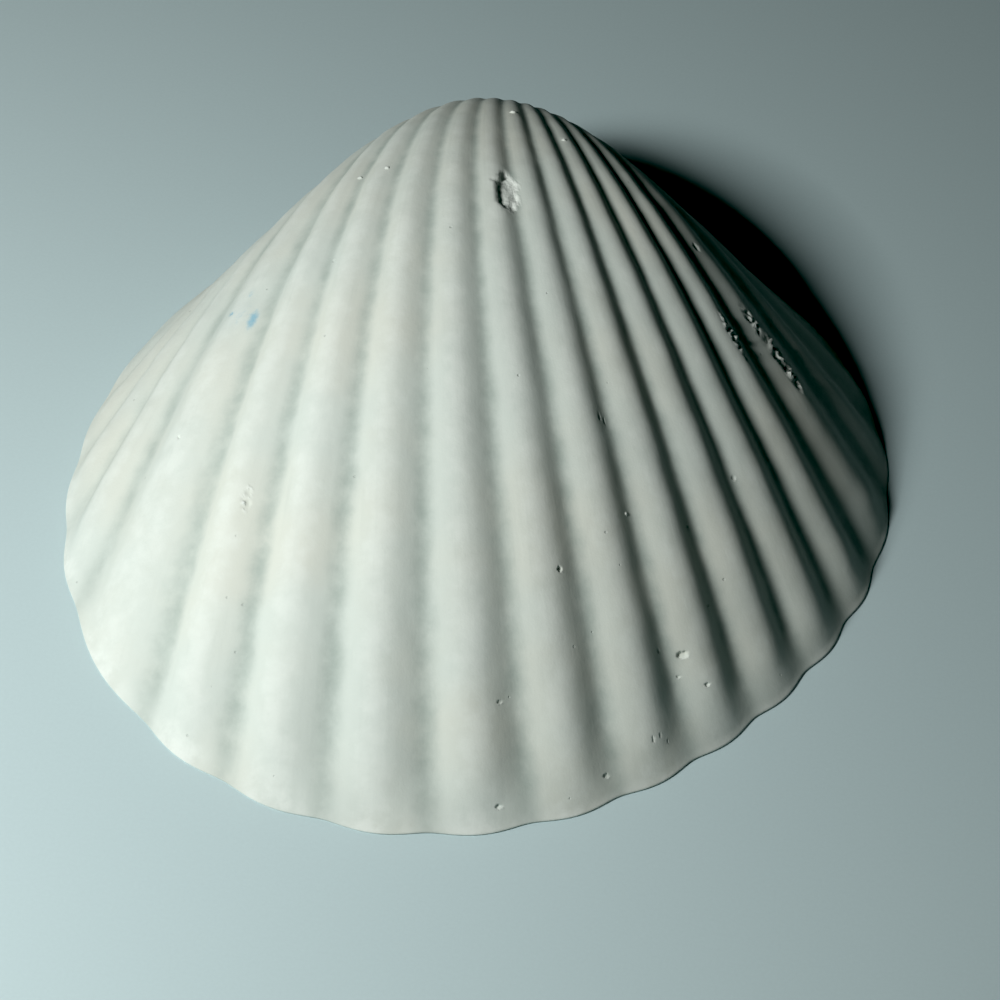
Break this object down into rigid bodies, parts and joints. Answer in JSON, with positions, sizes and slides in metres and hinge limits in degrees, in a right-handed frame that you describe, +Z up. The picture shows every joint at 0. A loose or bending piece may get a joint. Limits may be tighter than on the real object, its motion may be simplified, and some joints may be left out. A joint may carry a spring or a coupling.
{
  "type": "giant clam shell",
  "caption": "Single domed, ribbed shell valve with a scalloped edge and a coiled beak, lying hollow side down on its flat rim.",
  "frame": {"origin": "middle of the footprint, on the surface that the rim rests on", "axes": "+Z up through the dome, +Y from the front edge towards the hinge and beak, +X to the right seen from the front"},
  "size_m": [0.2886, 0.3246, 0.0894],
  "materials": {
    "shell": "matte chalk white with a faint green cast, like unglazed plaster or bleached shell"
  },
  "bodies": {
    "root": {"shell_valve": "shell"}
  },
  "joints": []
}
